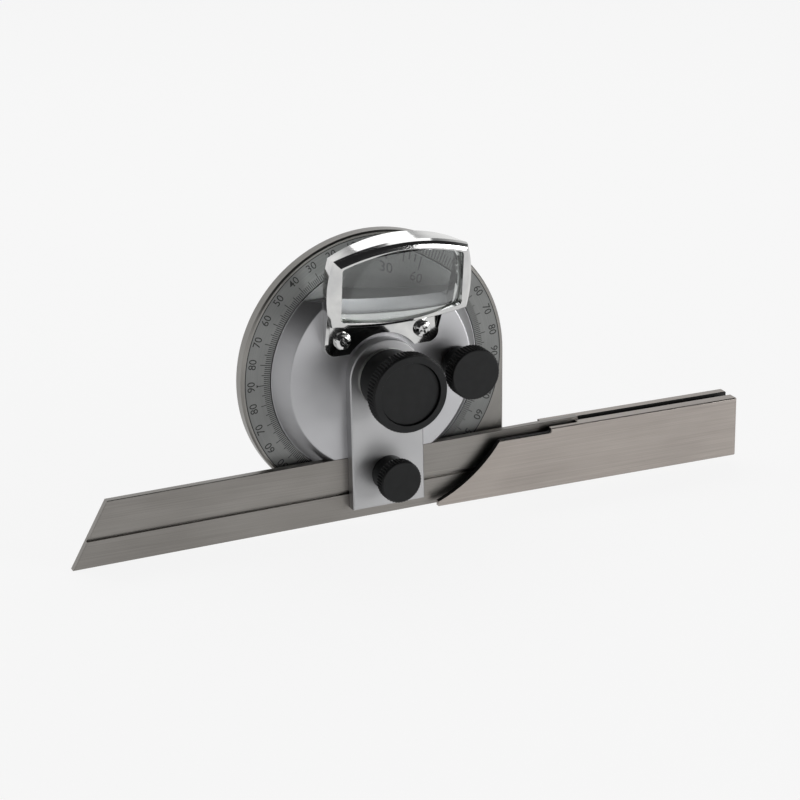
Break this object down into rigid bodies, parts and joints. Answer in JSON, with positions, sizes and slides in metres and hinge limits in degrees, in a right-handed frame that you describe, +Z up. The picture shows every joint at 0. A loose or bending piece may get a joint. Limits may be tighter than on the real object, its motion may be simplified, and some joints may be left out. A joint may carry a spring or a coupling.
{
  "type": "bevel protractor",
  "caption": "Universal bevel protractor: slotted stock with a full-circle dial, swivelling turret, sliding bevelled blade, magnifier, clamp knobs and a geared fine adjustment.",
  "frame": {"origin": "where the swivel axis meets the flat back face of the dial body", "axes": "+X along the stock to its free end, +Z up from the stock's working edge to the top of the dial, +Y out of the back; the dial faces -Y"},
  "size_m": [0.1994, 0.028, 0.0846],
  "materials": {
    "satin_steel": "satin turned steel",
    "scale_steel": "satin steel with engraved graduations filled black",
    "ground_steel": "ground along its length",
    "plain_steel": "plain machined",
    "satin_chrome": "satin, blasted before plating",
    "bright_chrome": "bright",
    "brass": "machined",
    "black_plastic": "moulded, straight flutes",
    "black_metal": "black",
    "lens_glass": "clear, polished"
  },
  "bodies": {
    "frame": {"dial_body": "satin_steel", "main_scale_ring": "scale_steel", "ring_gear": "brass", "pivot_post": "plain_steel", "pivot_post_screws": "plain_steel", "stock": "ground_steel", "stock_screws": "plain_steel", "stock_dowels": "plain_steel"},
    "turret": {"turret": "satin_chrome", "turret_bush": "brass", "vernier_plate": "scale_steel", "vernier_screws": "plain_steel", "clamp_arm": "satin_chrome", "arm_screws": "plain_steel", "guide_key": "plain_steel", "clamp_shoe": "brass", "clamp_washer": "plain_steel", "pinion_bush": "brass", "magnifier_bracket": "bright_chrome", "magnifier_screws": "bright_chrome", "magnifier_frame": "bright_chrome", "hood_screws": "bright_chrome", "magnifier_lens": "lens_glass", "lens_retainer": "black_metal"},
    "blade": {"blade": "ground_steel"},
    "clamp_knob": {"clamp_knob": "black_plastic", "clamp_knob_cap": "black_plastic", "disc_spring": "plain_steel"},
    "fine_adjust": {"pinion_shaft": "plain_steel", "fine_adjust_knob": "black_plastic", "fine_knob_set_screw": "plain_steel"},
    "blade_clamp": {"blade_clamp_knob": "black_plastic", "blade_clamp_screw": "plain_steel"}
  },
  "joints": [
    {"name": "turret_swivel", "type": "hinge", "parent": "frame", "child": "turret", "pos_m": [0, 0, 0], "axis": [0, -1, 0], "range_deg": [-205, 109]},
    {"name": "blade_slide", "type": "slide", "parent": "turret", "child": "blade", "axis": [0.9999, 0, 0.0145], "range_m": [-0.075, 0.0003]},
    {"name": "clamp_knob_turn", "type": "hinge", "parent": "frame", "child": "clamp_knob", "pos_m": [0, -0.02, 0], "axis": [0, -1, 0], "range_deg": [0, 180]},
    {"name": "fine_adjust_turn", "type": "hinge", "parent": "turret", "child": "fine_adjust", "pos_m": [0.02225, -0.015, 0.00032], "axis": [0, -1, 0], "range_deg": [-856, 1609]},
    {"name": "blade_clamp_turn", "type": "hinge", "parent": "turret", "child": "blade_clamp", "pos_m": [0.0004, -0.015, -0.0276], "axis": [0, -1, 0], "range_deg": [0, 180]}
  ],
  "couplings": [
    {"joint": "fine_adjust_turn", "follows": "turret_swivel", "ratio": -7.8462}
  ]
}
